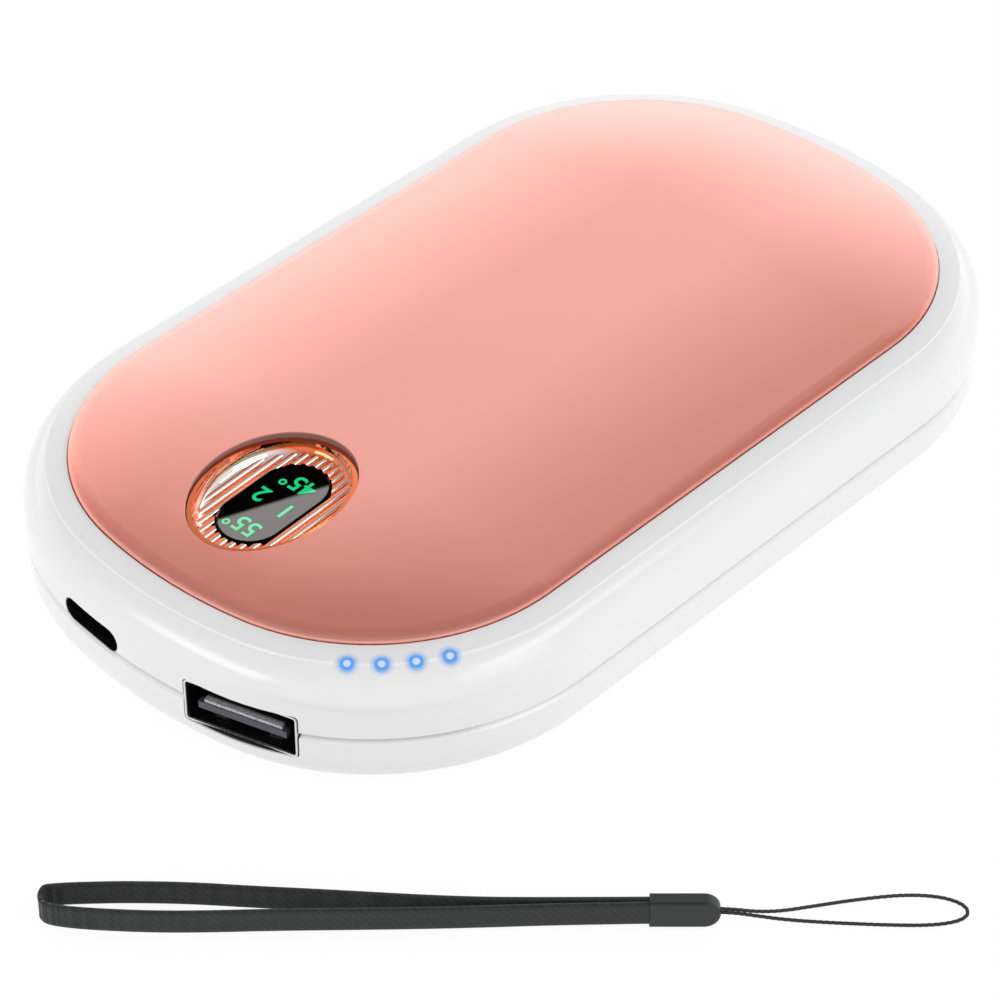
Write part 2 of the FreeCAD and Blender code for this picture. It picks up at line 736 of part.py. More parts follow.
# Smaller socket: drawn steel shell with a thin nose through the wall, and tongue, standing on the board
c_out = (usb_c_opening[0] + 2 * usb_c_sheet, usb_c_opening[1] + 2 * usb_c_sheet)
c_shell = flat_pill(c_out[0], c_out[1], 0, usb_c_depth)
nose_out = [size + 2 * usb_c_nose_sheet for size in usb_c_opening]
nose_length = usb_c_recess - usb_c_nose_recess
c_shell = c_shell.fuse(flat_pill(nose_out[0], nose_out[1], -nose_length, nose_length + usb_c_sheet))
c_shell = c_shell.cut(flat_pill(usb_c_opening[0], usb_c_opening[1], -usb_c_depth, 3 * usb_c_depth))
c_shell = c_shell.removeSplitter()
c_tongue = level(0, (usb_c_tongue_size[0], usb_c_tongue_size[1] + usb_c_block_depth, usb_c_tongue_size[2]),
                 usb_c_depth - usb_c_block_depth - usb_c_tongue_size[1])
c_block = flat_pill(usb_c_opening[0] - socket_gap, usb_c_opening[1] - socket_gap,
                    usb_c_depth - usb_c_block_depth, usb_c_block_depth)
c_tongue = c_tongue.fuse(c_block).removeSplitter()
usb_c_shell = place(c_shell, usb_c_angle, usb_c_rise, usb_c_recess)
usb_c_tongue = place(c_tongue, usb_c_angle, usb_c_rise, usb_c_recess)
c_hole = flat_pill(c_out[0] + 2 * socket_gap, c_out[1] + 2 * socket_gap, -usb_a_gap, usb_c_depth + usb_a_gap)
nose_hole = [size + 2 * usb_c_nose_gap for size in nose_out]
c_hole = c_hole.fuse(flat_pill(nose_hole[0], nose_hole[1], -usb_c_depth, 2 * usb_c_depth))
c_hole = place(c_hole, usb_c_angle, usb_c_rise, usb_c_recess)
upper_shell = upper_shell.cut(a_hole).cut(c_hole)
lower_shell = lower_shell.cut(a_hole).cut(c_hole)
main_board = main_board.cut(a_hole)

# Board parts
power_inductor = rounded_box((inductor_place[0], board_rear + inductor_place[1]), inductor_size, board_top,
                             inductor_round)
chip_spots = [(x, board_rear + y) for x, y in chip_places]
board_capacitors = Part.makeCompound([box((x, board_rear + y), capacitor_size, board_top)
                                      for x, y in capacitor_places])

# Board bosses stand on the lower ledge
boss_radius = corner_radius - board_boss_inset
board_boss_places = []
for side in (-1, 1):
    a = math.radians(board_boss_angle)
    board_boss_places.append((side * (corner_x + boss_radius * math.sin(a)),
                              -side_half_length - boss_radius * math.cos(a)))
    board_boss_places.append((side * (plate_half_width - board_boss_inset), board_rear - board_boss_rear))
first_boss = board_boss_places[0]
chip_spots.append((first_boss[0] + chip_boss_offset[0], first_boss[1] + chip_boss_offset[1]))
board_chips = Part.makeCompound([box(p, chip_size, board_top) for p in chip_spots])
board_screw_list = []
for x, y in board_boss_places:
    boss = post(x, y, lower_ledge - ledge_thickness / 2, board_low, board_boss_radius)
    hole = post(x, y, board_top - board_screw_length - screw_gap, board_top + over,
                board_screw_radius + screw_gap)
    lower_shell = lower_shell.fuse(boss).cut(hole)
    main_board = main_board.cut(hole)
    board_screw_list.append(screw(x, y, board_top, (-1, board_screw_length), board_screw_radius,
                                  small_head_radius, small_head_height))
board_screws = Part.makeCompound(board_screw_list)

# Case bosses, and screws whose heads the lower plate covers
head_seat = bottom_plate_top + case_head_height + screw_gap
case_screw_list = []
for side in (-1, 1):
    for y in case_screw_y:
        x = side * boss_x
        hole = post(x, y, 0, head_seat + case_screw_length + screw_gap, case_screw_radius + screw_gap)
        head = post(x, y, 0, head_seat, case_head_radius + screw_gap)
        lower_boss = post(x, y, lower_ledge - ledge_thickness / 2, ear_low, case_boss_radius)
        lower_shell = lower_shell.fuse(lower_boss)
        lower_shell = lower_shell.cut(hole).cut(head)
        upper_boss = post(x, y, parting_height, roof + ledge_thickness / 2, case_boss_radius)
        upper_shell = upper_shell.fuse(upper_boss)
        upper_shell = upper_shell.cut(hole)
        case_screw_list.append(screw(x, y, head_seat, (1, case_screw_length), case_screw_radius,
                                     case_head_radius, case_head_height))
case_screws = Part.makeCompound(case_screw_list)

# Indicator lights: pipes through the shoulder, lamps and a curved board under them
light_centre = (corner_x, -side_half_length)
light_r = corner_radius + ridge_offset
light_top = ridge_z + ridge_height / 2
light_low = light_top - light_length
lamp_strip_top = light_low - light_lamp_gap - light_lamp_size[2]
strip_low = lamp_strip_top - strip_thickness
shoulder_block = ring(profile_face((plate_gap, shoulder_z - over), (
    (rim_width, shoulder_z - over),
    (rim_width, shoulder_z),
    (arc_middle, (ridge_out, ridge_z), "arc"),
    (ridge_offset, ridge_z + ridge_height),
    (plate_gap, rim_z),
)))
pipes = []
strip_lamps = []
for i in range(light_count):
    angle = light_first_angle + i * light_step - 90
    spot = polar(light_centre, light_r, angle)
    pipes.append(post(spot.x, spot.y, light_low, light_top + over, light_radius).common(shoulder_block))
    upper_shell = upper_shell.cut(post(spot.x, spot.y, light_low - over, light_top + over,
                                       light_radius + light_hole_gap))
    lamp = box((0, 0), light_lamp_size, lamp_strip_top)
    lamp.rotate(V(), UP, angle)
    lamp.translate(spot - polar((0, 0), light_radius, angle))
    strip_lamps.append(lamp)
light_pipes = Part.makeCompound(pipes)
indicator_lamps = Part.makeCompound(strip_lamps)
strip_first = light_first_angle - strip_margin - 90
strip_turn = (light_count - 1) * light_step + 2 * strip_margin
strip_face = profile_face((light_r - strip_inner, strip_low), (
    (light_r + strip_outer, strip_low),
    (light_r + strip_outer, lamp_strip_top),
    (light_r - strip_inner, lamp_strip_top),
))
strip_face.rotate(V(), UP, strip_first)
strip_face.translate(V(light_centre[0], light_centre[1], 0))
indicator_board = strip_face.revolve(V(light_centre[0], light_centre[1], 0), UP, strip_turn)
for angle in (strip_first + stake_angle_margin, strip_first + strip_turn - stake_angle_margin):
    spot = polar(light_centre, corner_radius + stake_offset, angle)
    stake = post(spot.x, spot.y, lamp_strip_top, roof + ledge_thickness / 2, stake_radius)
    pin = post(spot.x, spot.y, lamp_strip_top - stake_pin_length, lamp_strip_top + over, stake_pin_radius)
    upper_shell = upper_shell.fuse(stake).fuse(pin)
    indicator_board = indicator_board.cut(post(spot.x, spot.y, strip_low - over, lamp_strip_top + over,
                                               stake_pin_radius + screw_gap))

# Lanyard pocket: a closed box behind the end wall, shared by both shells, with a pin across it
end_wall = half_length + rim_width
pocket_back = end_wall - pocket_depth
housing_size = (pocket_width + 2 * pocket_wall, pocket_depth + pocket_wall - wall / 2,
                pocket_height + 2 * pocket_wall)
housing_low = parting_height - housing_size[2] / 2
housing = Part.makeBox(housing_size[0], housing_size[1], housing_size[2],
                       V(-housing_size[0] / 2, pocket_back - pocket_wall, housing_low))
pocket = Part.makeBox(pocket_width, 2 * pocket_depth, pocket_height,
                      V(-pocket_width / 2, pocket_back, parting_height - pocket_height / 2))
pin_y = end_wall - pin_inset
pin_half = pocket_height / 2 + pin_seat
pin_hole = post(0, pin_y, parting_height - pin_half - screw_gap, parting_height + pin_half + screw_gap,
                pin_radius + screw_gap)
above = Part.makeBox(2 * reach, reach, plate_top, V(-reach, 0, parting_height))
below = Part.makeBox(2 * reach, reach, plate_top, V(-reach, 0, parting_height - plate_top))
lip_cut = Part.makeBox(housing_size[0] + 2 * lip_gap, 3 * wall, lip_height + lip_gap,
                       V(-housing_size[0] / 2 - lip_gap, end_wall - 3 * wall, parting_height))
lower_shell = lower_shell.cut(lip_cut)
upper_shell = upper_shell.fuse(housing.common(above)).cut(pocket).cut(pin_hole).removeSplitter()
lower_shell = lower_shell.fuse(housing.common(below)).cut(pocket).cut(pin_hole).removeSplitter()
lanyard_pin = post(0, pin_y, parting_height - pin_half, parting_height + pin_half, pin_radius)

# Leads: cell to board, upper heater down to the board, lower heater up to it through the pad
lead_y = board_rear - heater_lead_inset
upper_film = plate_floor - heater_thickness
battery_lead_list = []
heater_lead_list = []
for side in (-1, 1):
    x = side * lead_pitch / 2
    high = lead_z + lead_rise
    points = ((x, battery_front, high), (x, battery_front - lead_run, high),
              (x, board_rear - lead_run, lead_z), (x, board_rear - 2 * lead_run, lead_z))
    battery_lead_list.append(tube(points, lead_radius)[0])
    x = heater_lead_x + side * lead_pitch / 2
    run = (upper_film - board_top) / 3
    points = ((x, lead_y, upper_film), (x, lead_y, upper_film - run),
              (x, lead_y - heater_lead_sway, board_top + run), (x, lead_y - heater_lead_sway, board_top))
    heater_lead_list.append(tube(points, lead_radius)[0])
    heater_lead_list.append(post(-x, lead_y, pad_low, board_low, lead_radius))
    bottom_pad = bottom_pad.cut(post(-x, lead_y, 0, board_low, lead_radius + lead_hole_gap))
battery_leads = Part.makeCompound(battery_lead_list)
heater_leads = Part.makeCompound(heater_lead_list)
for side in (-1, 1):
    for y in case_screw_y:
        boss_room = post(side * boss_x, y, 0, board_low, case_boss_radius + pad_boss_gap)
        bottom_pad = bottom_pad.cut(boss_room)
        bottom_heater = bottom_heater.cut(boss_room)

# Wrist strap: points along the strap's line, towards the viewer, and up
turn = math.radians(strap_angle)


def strap_point(along, reach, z):
    x = along * math.cos(turn) + reach * math.sin(turn)
    y = along * math.sin(turn) - reach * math.cos(turn)
    return (x, y, z)


band_points = (
    (13.4, 68.62, 1.6), (4.0, 68.63, 1.53), (-5.5, 68.48, 1.44), (-18.5, 67.38, 1.35), (-25.0, 66.93, 1.33),
    (-31.0, 66.42, 1.33), (-37.0, 66.28, 1.33), (-41.5, 66.42, 1.33), (-43.9, 66.6, 1.33),
    (-44.92, 66.8, 1.33), (-44.95, 68.75, 1.33), (-43.4, 69.4, 1.33), (-40.0, 69.85, 1.33),
    (-34.0, 70.2, 1.33), (-28.5, 70.14, 1.33), (-23.0, 69.95, 1.34), (-12.0, 69.85, 1.4), (-5.0, 69.7, 1.44),
    (4.0, 69.38, 1.53), (13.4, 69.26, 1.6),
)
cord_points = (
    (18.4, 68.71, 1.6), (20.2, 68.68, 1.45), (22.2, 68.5, 0.95), (24.6, 67.95, 0.45), (27.5, 67.1, 0.2),
    (32.0, 66.15, 0.2), (36.6, 65.5, 0.2), (40.0, 65.8, 0.2), (42.0, 66.8, 0.2), (42.4, 68.1, 0.2),
    (41.2, 69.1, 0.2), (38.4, 69.6, 0.2), (34.0, 69.5, 0.2), (29.0, 69.2, 0.2), (25.2, 69.1, 0.45),
    (22.4, 69.08, 0.95), (20.2, 69.14, 1.45), (18.4, 69.17, 1.6),
)
band_path, band_radii = route([strap_point(*p) for p in band_points])
first = band_path.OrderedEdges[0]
ahead = first.tangentAt(first.FirstParameter)
across = ahead.cross(UP)
across.normalize()
origin = V(*strap_point(*band_points[0]))
corners = [origin + across * (a * band_thickness / 2) + UP * (b * band_width / 2)
           for a, b in ((-1, -1), (1, -1), (1, 1), (-1, 1), (-1, -1))]
sweep = Part.BRepOffsetAPI.MakePipeShell(band_path)
sweep.setBiNormalMode(UP)
sweep.add(Part.makePolygon(corners))
sweep.build()
sweep.makeSolid()
strap_webbing = sweep.shape()
strap_cord, cord_path, cord_radii = tube([strap_point(*p) for p in cord_points], strap_cord_diameter / 2)
crimp_round = crimp_height / 2
crimp_block = Part.makeBox(crimp_length - crimp_round, crimp_thickness, crimp_height,
                           V(0, -crimp_thickness / 2, 0))
crimp_end = Part.makeCylinder(crimp_round, crimp_thickness,
                              V(crimp_length - crimp_round, -crimp_thickness / 2, crimp_round), V(0, 1, 0))
strap_crimp = crimp_block.fuse(crimp_end).removeSplitter()
long_edges = [e for e in strap_crimp.Edges if abs(abs(e.CenterOfMass.y) - crimp_thickness / 2) < 0.01]
strap_crimp = strap_crimp.makeFillet(crimp_edge_round, long_edges)
strap_crimp.rotate(V(), UP, strap_angle)
strap_crimp.translate(V(*strap_point(crimp_start, crimp_reach, 0)))
band_volume = band_width * band_thickness * band_path.Length
cord_volume = math.pi * strap_cord_diameter ** 2 / 4 * cord_path.Length
print("band length", round(band_path.Length, 1), "volume ratio", round(strap_webbing.Volume / band_volume, 3))
print("band radii", band_radii)
print("cord length", round(cord_path.Length, 1), "volume ratio", round(strap_cord.Volume / cord_volume, 3))
print("cord radii", cord_radii)

NODES = {
    "upper_shell": upper_shell,
    "lower_shell": lower_shell,
    "top_plate": top_plate,
    "bottom_plate": bottom_plate,
    "top_heater": top_heater,
    "bottom_heater": bottom_heater,
    "top_pad": top_pad,
    "bottom_pad": bottom_pad,
    "thermistor": thermistor,
    "heater_leads": heater_leads,
    "battery_cell": battery_cell,
    "battery_tray": battery_tray,
    "battery_leads": battery_leads,
    "main_board": main_board,
    "board_screws": board_screws,
    "power_inductor": power_inductor,
    "board_chips": board_chips,
    "board_capacitors": board_capacitors,
    "usb_a_shell": usb_a_shell,
    "usb_a_tongue": usb_a_tongue,
    "usb_a_contacts": usb_a_contacts,
    "usb_c_shell": usb_c_shell,
    "usb_c_tongue": usb_c_tongue,
    "display_board": display_board,
    "display_lamps": display_lamps,
    "display_screws": display_screws,
    "switch_bodies": switch_bodies,
    "switch_plungers": switch_plungers,
    "button_frame": button_frame,
    "display_window": display_window,
    "display_legend": display_legend,
    "light_box": light_box,
    "light_pipes": light_pipes,
    "indicator_board": indicator_board,
    "indicator_lamps": indicator_lamps,
    "case_screws": case_screws,
    "lanyard_pin": lanyard_pin,
    "strap_webbing": strap_webbing,
    "strap_crimp": strap_crimp,
    "strap_cord": strap_cord,
}

os.makedirs("parts", exist_ok=True)
for name, shape in NODES.items():
    solids = shape.Solids
    print(name, len(solids), "solids", round(shape.Volume, 2), "mm3", shape.isValid())
    shape.exportStep("parts/" + name + ".step")
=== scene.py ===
import bmesh
import bpy
import json
import math
from mathutils import Matrix, Vector


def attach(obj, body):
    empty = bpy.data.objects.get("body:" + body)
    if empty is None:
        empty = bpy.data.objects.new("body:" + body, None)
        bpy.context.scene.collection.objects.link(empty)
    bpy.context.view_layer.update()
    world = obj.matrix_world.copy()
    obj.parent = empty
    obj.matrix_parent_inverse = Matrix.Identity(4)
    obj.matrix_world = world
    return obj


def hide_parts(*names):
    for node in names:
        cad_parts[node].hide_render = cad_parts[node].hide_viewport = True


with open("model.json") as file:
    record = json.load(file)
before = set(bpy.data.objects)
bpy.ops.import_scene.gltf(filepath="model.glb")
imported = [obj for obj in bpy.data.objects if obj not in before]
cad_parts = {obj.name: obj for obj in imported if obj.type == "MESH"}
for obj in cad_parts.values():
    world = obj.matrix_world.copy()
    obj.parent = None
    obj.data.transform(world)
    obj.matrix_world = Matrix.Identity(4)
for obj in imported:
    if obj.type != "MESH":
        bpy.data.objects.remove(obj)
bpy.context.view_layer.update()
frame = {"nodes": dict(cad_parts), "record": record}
nodes = frame["nodes"]
scene = bpy.context.scene
scene.view_settings.view_transform = "Standard"
mm = 0.001

# Places on the warmer that the finishes and the new pieces share, in millimetres
button_pivot = (0.0, -36.2, 17.75)
button_tilt = math.radians(3.0)
window_drop = 1.42
plate_hole_reach = 12.5
light_spots = ((21.31, -47.49, 15.15), (23.80, -45.29, 15.15), (25.98, -42.79, 15.15), (27.82, -40.03, 15.15))
halo_start, halo_end = 0.55, 1.4
seam_height, seam_core, seam_fade = 7.2, 0.06, 0.3
larger_socket = (12.763, -53.831, 7.0)
larger_across, larger_inward = (0.96502, 0.26219, 0.0), (-0.26219, 0.96502, 0.0)
larger_half_width, larger_half_height = 6.13, 2.36
larger_hole_width, larger_hole_height = 6.43, 2.66
larger_recess, end_wall_radius, mouth_depth = 0.6, 28.3, 8.0
tongue_front, tongue_top = 0.35, -0.06
smaller_socket, smaller_mouth_reach = (-6.673, -55.311, 8.6), 10.0

# Directions that the painted light and shade follow, and tones that more than one finish uses
dome_fall = (0.5, -0.85, 0.0)
bright_flank = (0.75, 0.0, 0.66)
socket_shade_black = (0.006, 0.006, 0.007, 1.0)
black = (0.0, 0.0, 0.0, 1.0)
shell_white, shell_white_other = (0.915, 0.915, 0.918), (0.935, 0.935, 0.935)

# Numbers in the window: text, place across and along, in millimetres
numeral_height = 3.0
numeral_places = (("55°", -0.1, -4.2), ("1", 1.9, -0.1), ("2", -1.85, 0.2), ("45°", 0.0, 3.7))

# Wrist strap: points along its line, towards the viewer, and up, in millimetres
strap_turn = math.radians(42.53)
band_width, band_thickness = 2.65, 0.5
cord_diameter, cord_twist = 0.38, 1.8
band_points = (
    (13.4, 68.62, 1.6), (4.0, 68.63, 1.53), (-5.5, 68.48, 1.44), (-18.5, 67.38, 1.35),
    (-25.0, 66.93, 1.33), (-31.0, 66.42, 1.33), (-37.0, 66.28, 1.33), (-41.5, 66.42, 1.33),
    (-43.9, 66.6, 1.33), (-44.92, 66.8, 1.33), (-44.95, 68.75, 1.33), (-43.4, 69.4, 1.33),
    (-40.0, 69.85, 1.33), (-34.0, 70.2, 1.33), (-28.5, 70.14, 1.33), (-23.0, 69.95, 1.34),
    (-12.0, 69.85, 1.4), (-5.0, 69.7, 1.44), (4.0, 69.38, 1.53), (13.4, 69.26, 1.6))
cord_points = (
    (18.4, 68.71, 1.6), (20.2, 68.68, 1.45), (22.2, 68.5, 0.95), (24.6, 67.95, 0.45), (27.5, 67.1, 0.2),
    (32.0, 66.15, 0.2), (36.6, 65.5, 0.2), (40.0, 65.8, 0.2), (42.0, 66.8, 0.2), (42.4, 68.1, 0.2),
    (41.2, 69.1, 0.2), (38.4, 69.6, 0.2), (34.0, 69.5, 0.2), (29.0, 69.2, 0.2), (25.2, 69.1, 0.45),
    (22.4, 69.08, 0.95), (20.2, 69.14, 1.45), (18.4, 69.17, 1.6))


class Tree:
    """Adds nodes to a node tree; an input is a plain value or another node's output."""

    def __init__(self, tree):
        self.tree = tree

    def add(self, kind, inputs=None, **settings):
        node = self.tree.nodes.new(kind)
        for key, value in settings.items():
            setattr(node, key, value)
        for key, value in (inputs or {}).items():
            if isinstance(value, bpy.types.NodeSocket):
                self.tree.links.new(value, node.inputs[key])
            else:
                node.inputs[key].default_value = value
        return node

    def math(self, operation, *values):
        return self.add("ShaderNodeMath", dict(enumerate(values)), operation=operation).outputs[0]

    def vector(self, operation, first, second=(0.0, 0.0, 0.0), output=0):
        inputs = {0: first, 1: second}
        return self.add("ShaderNodeVectorMath", inputs, operation=operation).outputs[output]

    def dot(self, first, second):
        return self.vector("DOT_PRODUCT", first, second, "Value")

    def coordinate(self, kind):
        return self.add("ShaderNodeTexCoord").outputs[kind]

    def mix(self, factor, first, second, blend="MIX"):
        inputs = {0: factor, 6: first, 7: second}
        return self.add("ShaderNodeMix", inputs, data_type="RGBA", blend_type=blend).outputs[2]

    def relief(self, height, strength, distance):
        inputs = {"Height": height, "Strength": strength, "Distance": distance}
        return self.add("ShaderNodeBump", inputs).outputs[0]

    def span(self, value, low, high, to_low, to_high):
        inputs = {"Value": value, "From Min": low, "From Max": high, "To Min": to_low, "To Max": to_high}
        return self.add("ShaderNodeMapRange", inputs).outputs[0]

    def ramp(self, value, stops):
        node = self.add("ShaderNodeValToRGB", {0: value})
        elements = node.color_ramp.elements
        while len(elements) < len(stops):
            elements.new(1.0)
        for element, (place, colour) in zip(elements, stops):
            element.position = place
            element.color = (*colour, 1.0)
        return node.outputs[0]


def new_group(name, inputs, outputs):
    group = bpy.data.node_groups.new(name, "ShaderNodeTree")
    for title, default in inputs:
        socket = group.interface.new_socket(title, in_out="INPUT", socket_type="NodeSocketFloat")
        socket.default_value = default
    for title in outputs:
        group.interface.new_socket(title, in_out="OUTPUT", socket_type="NodeSocketFloat")
    tree = Tree(group)
    return group, tree, tree.add("NodeGroupInput").outputs, tree.add("NodeGroupOutput")


def surface_grain_group():
    """Fine grain and broad mottle of a moulded, blasted or plated surface."""
    group, tree, given, out = new_group("surface_grain", (("Grain Scale", 3000), ("Mottle Scale", 60)),
                                        ("Grain", "Mottle"))
    place = tree.coordinate("Object")
    fine = tree.add("ShaderNodeTexNoise", {"Vector": place, "Scale": given["Grain Scale"], "Detail": 3.0})
    broad = tree.add("ShaderNodeTexNoise", {"Vector": place, "Scale": given["Mottle Scale"], "Detail": 4.0})
    group.links.new(fine.outputs[0], out.inputs["Grain"])
    group.links.new(broad.outputs[0], out.inputs["Mottle"])
    return group


def spot_distance_group():
    """Distance across the shoulder to the nearest light dot, in millimetres."""
    group, tree, _, out = new_group("spot_distance", (), ("Distance",))
    place = tree.coordinate("Object")
    large = tree.vector("MULTIPLY", place, (1000, 1000, 1000))
    nearest = None
    for spot in light_spots:
        away = tree.vector("DISTANCE", large, spot, "Value")
        nearest = away if nearest is None else tree.math("MINIMUM", nearest, away)
    group.links.new(nearest, out.inputs["Distance"])
    return group


surface_grain = surface_grain_group()
spot_distance = spot_distance_group()


def new_material(name):
    material = bpy.data.materials.new(name)
    material.use_nodes = True
    tree = Tree(material.node_tree)
    return material, tree, material.node_tree.nodes["Principled BSDF"]


def feed(tree, shader, **inputs):
    for key, value in inputs.items():
        socket = shader.inputs[key.replace("_", " ")]
        if isinstance(value, bpy.types.NodeSocket):
            tree.tree.links.new(value, socket)
        else:
            socket.default_value = value


def finish(name, colour, other, rough, grain=3000, mottle=60, bump=0.1, depth=0.00002, **constants):
    """A finish that drifts between two colours and two roughnesses, with a fine surface grain."""
    material, tree, shader = new_material(name)
    grains = tree.add("ShaderNodeGroup", node_tree=surface_grain)
    grains.inputs["Grain Scale"].default_value = grain
    grains.inputs["Mottle Scale"].default_value = mottle
    drift = tree.span(grains.outputs["Mottle"], 0.3, 0.7, 0.0, 1.0)
    tone = tree.mix(drift, (*colour, 1.0), (*other, 1.0))
    gloss = tree.span(grains.outputs["Grain"], 0.25, 0.75, rough[0], rough[1])
    relief = tree.relief(grains.outputs["Grain"], bump, depth)
    feed(tree, shader, Base_Color=tone, Roughness=gloss, Normal=relief, **constants)
    return material, tree, shader, tone


def socket_frame(tree):
    """Place in the larger socket's own frame, in millimetres: across it, inward and up."""
    place = tree.coordinate("Object")
    large = tree.vector("MULTIPLY", place, (1000, 1000, 1000))
    away = tree.vector("SUBTRACT", large, larger_socket)
    return [tree.dot(away, way) for way in (larger_across, larger_inward, (0.0, 0.0, 1.0))]


def socket_reach(tree, across, up, half_width, half_height):
    """How far out from the larger socket's middle a place lies: 1 on a rectangle of these halves."""
    wide = tree.math("DIVIDE", tree.math("ABSOLUTE", across), half_width)
    high = tree.math("DIVIDE", tree.math("ABSOLUTE", up), half_height)
    return tree.math("MAXIMUM", wide, high)


def light_dots(tree, shader, tone):
    """Lights a surface round the dots: pale in the middle, a blue ring, a halo that fades into the shell."""
    away = tree.add("ShaderNodeGroup", node_tree=spot_distance).outputs[0]
    glow = tree.ramp(tree.span(away, 0.0, halo_end, 0.0, 1.0), (
        (0.0, (0.62, 0.66, 0.94)), (0.22, (0.56, 0.62, 0.94)),
        (0.31, (0.08, 0.34, 0.80)), (0.46, (0.06, 0.31, 0.78))))
    lit = tree.math("POWER", tree.span(away, halo_start, halo_end, 1.0, 0.0), 1.6)
    shade = tree.mix(0.75, glow, black)
    feed(tree, shader, Base_Color=tree.mix(lit, tone, shade),
         Emission_Color=tree.mix(lit, black, glow), Emission_Strength=0.85)


def white_shell_finish():
    """Glossy white moulding, lit blue round the light dots, with painted shade along the seam and painted
    shade, black, in the larger socket's mouth.
    """
    material, tree, shader, tone = finish(
        "white_gloss", shell_white, shell_white_other, (0.20, 0.26), grain=350, mottle=45, bump=0.01,
        Coat_Weight=0.3, Coat_Roughness=0.12)
    place = tree.coordinate("Object")
    height = tree.add("ShaderNodeSeparateXYZ", {0: place}).outputs["Z"]
    # Painted shade: the shell goes grey along the parting seam, where shade falls in the groove.
    off_seam = tree.math("ABSOLUTE", tree.math("SUBTRACT", height, seam_height * mm))
    seam = tree.span(off_seam, seam_core * mm, seam_fade * mm, 0.5, 0.0)
    tone = tree.mix(seam, tone, (0.42, 0.42, 0.43, 1.0))
    # Painted shade: the shell's walls in the larger socket's mouth are made black, where shade falls inside it.
    across, inward, up = socket_frame(tree)
    reach = socket_reach(tree, across, up, larger_hole_width, larger_hole_height)
    curve = tree.math("DIVIDE", tree.math("MULTIPLY", across, across), 2 * end_wall_radius)
    depth = tree.math("SUBTRACT", tree.math("ADD", inward, larger_recess), curve)
    within = tree.span(reach, 1.002, 1.006, 1.0, 0.0)
    behind = tree.math("MULTIPLY", tree.span(depth, 0.2, 0.26, 0.0, 1.0),
                       tree.span(depth, mouth_depth, mouth_depth + 0.5, 1.0, 0.0))
    tone = tree.mix(tree.math("MULTIPLY", within, behind), tone, socket_shade_black)
    light_dots(tree, shader, tone)
    return material


def light_dot_finish():
    """Frosted end of a lit pipe."""
    material, tree, shader, tone = finish(
        "light_pipe", shell_white, shell_white_other, (0.22, 0.28), grain=4000, mottle=300, bump=0.02)
    light_dots(tree, shader, tone)
    return material


def from_button(tree, measure):
    """Level offset from the button's middle: its direction or its length."""
    place = tree.coordinate("Object")
    middle = tuple(value * mm for value in button_pivot)
    level = tree.vector("MULTIPLY", tree.vector("SUBTRACT", place, middle), (1.0, 1.0, 0.0))
    return tree.vector(measure, level, output="Value" if measure == "LENGTH" else 0)


def rose_plate_finish():
    """Blasted and anodised aluminium, with painted light and shade: lighter or deeper in colour by which way
    the dome falls, and painted shade on the hole's wall, dark and dull.
    """
    material, tree, shader, tone = finish(
        "rose_aluminium", (0.98, 0.96, 0.95), (1.0, 1.0, 1.0), (0.34, 0.40), grain=7000, mottle=30, bump=0.06,
        depth=0.00001, Metallic=1.0, Coat_Weight=0.5, Coat_Roughness=0.3)
    normal = tree.coordinate("Normal")
    # Painted light and shade: the plate's colour is set by which way its surface slopes.
    slope_light_and_shade = tree.ramp(tree.span(tree.dot(normal, dome_fall), -0.2, 0.7, 0.0, 1.0), (
        (0.0, (0.92, 0.425, 0.378)), (0.22, (0.875, 0.368, 0.313)), (0.35, (0.995, 0.388, 0.312)),
        (0.43, (0.925, 0.318, 0.247)), (0.60, (0.925, 0.318, 0.247)), (0.78, (1.0, 0.43, 0.35))))
    # Painted shade: the hole's wall round the button is made dark and dull.
    reach = from_button(tree, "LENGTH")
    rise = tree.math("ABSOLUTE", tree.add("ShaderNodeSeparateXYZ", {0: normal}).outputs["Z"])
    by_hole = tree.span(reach, plate_hole_reach * mm, (plate_hole_reach + 0.5) * mm, 1.0, 0.0)
    wall = tree.math("MULTIPLY", by_hole, tree.span(rise, 0.5, 0.85, 1.0, 0.0))
    tone = tree.mix(1.0, slope_light_and_shade, tone, "MULTIPLY")
    feed(tree, shader, Base_Color=tree.mix(wall, tone, (0.40, 0.24, 0.215, 1.0)),
         Metallic=tree.span(wall, 0.0, 1.0, 1.0, 0.0))
    return material


def copper_frame_finish():
    """Bright copper plating, with painted light: one flank of each rib and of the cove has a painted white
    highlight, and the faces turned away are painted pale.
    """
    material, tree, shader, tone = finish(
        "copper_mirror", (0.87, 0.195, 0.075), (0.90, 0.220, 0.090), (0.05, 0.10), grain=900, mottle=200,
        bump=0.01, depth=0.00002, Metallic=1.0)
    normal = tree.coordinate("Normal")
    facing = tree.dot(normal, bright_flank)
    outward = tree.dot(normal, from_button(tree, "NORMALIZE"))
    # Painted light: faces turned away from the highlight direction, or out from the button, are made pale
    # copper.
    painted_pale = tree.math("MAXIMUM", tree.span(facing, 0.1, 0.4, 0.6, 0.0), tree.span(outward, 0.1, 0.4, 0.0, 0.7))
    tone = tree.mix(painted_pale, tone, (1.0, 0.58, 0.42, 1.0))
    # Painted highlight: flanks facing the highlight direction are made near white.
    painted_highlight = tree.span(facing, 0.74, 0.88, 0.0, 1.0)
    feed(tree, shader, Base_Color=tree.mix(painted_highlight, tone, (1.0, 0.90, 0.84, 1.0)))
    return material


def window_finish():
    """Black glass with a dull bevel."""
    material, tree, shader, _ = finish(
        "dark_window", (0.0006, 0.0006, 0.0006), (0.0012, 0.0012, 0.0012), (0.004, 0.008), grain=1500,
        mottle=150, bump=0.002, depth=0.00001)
    normal = tree.coordinate("Normal")
    rise = tree.add("ShaderNodeSeparateXYZ", {0: normal}).outputs["Z"]
    feed(tree, shader, Metallic=tree.span(rise, 0.93, 0.97, 1.0, 0.0))
    return material


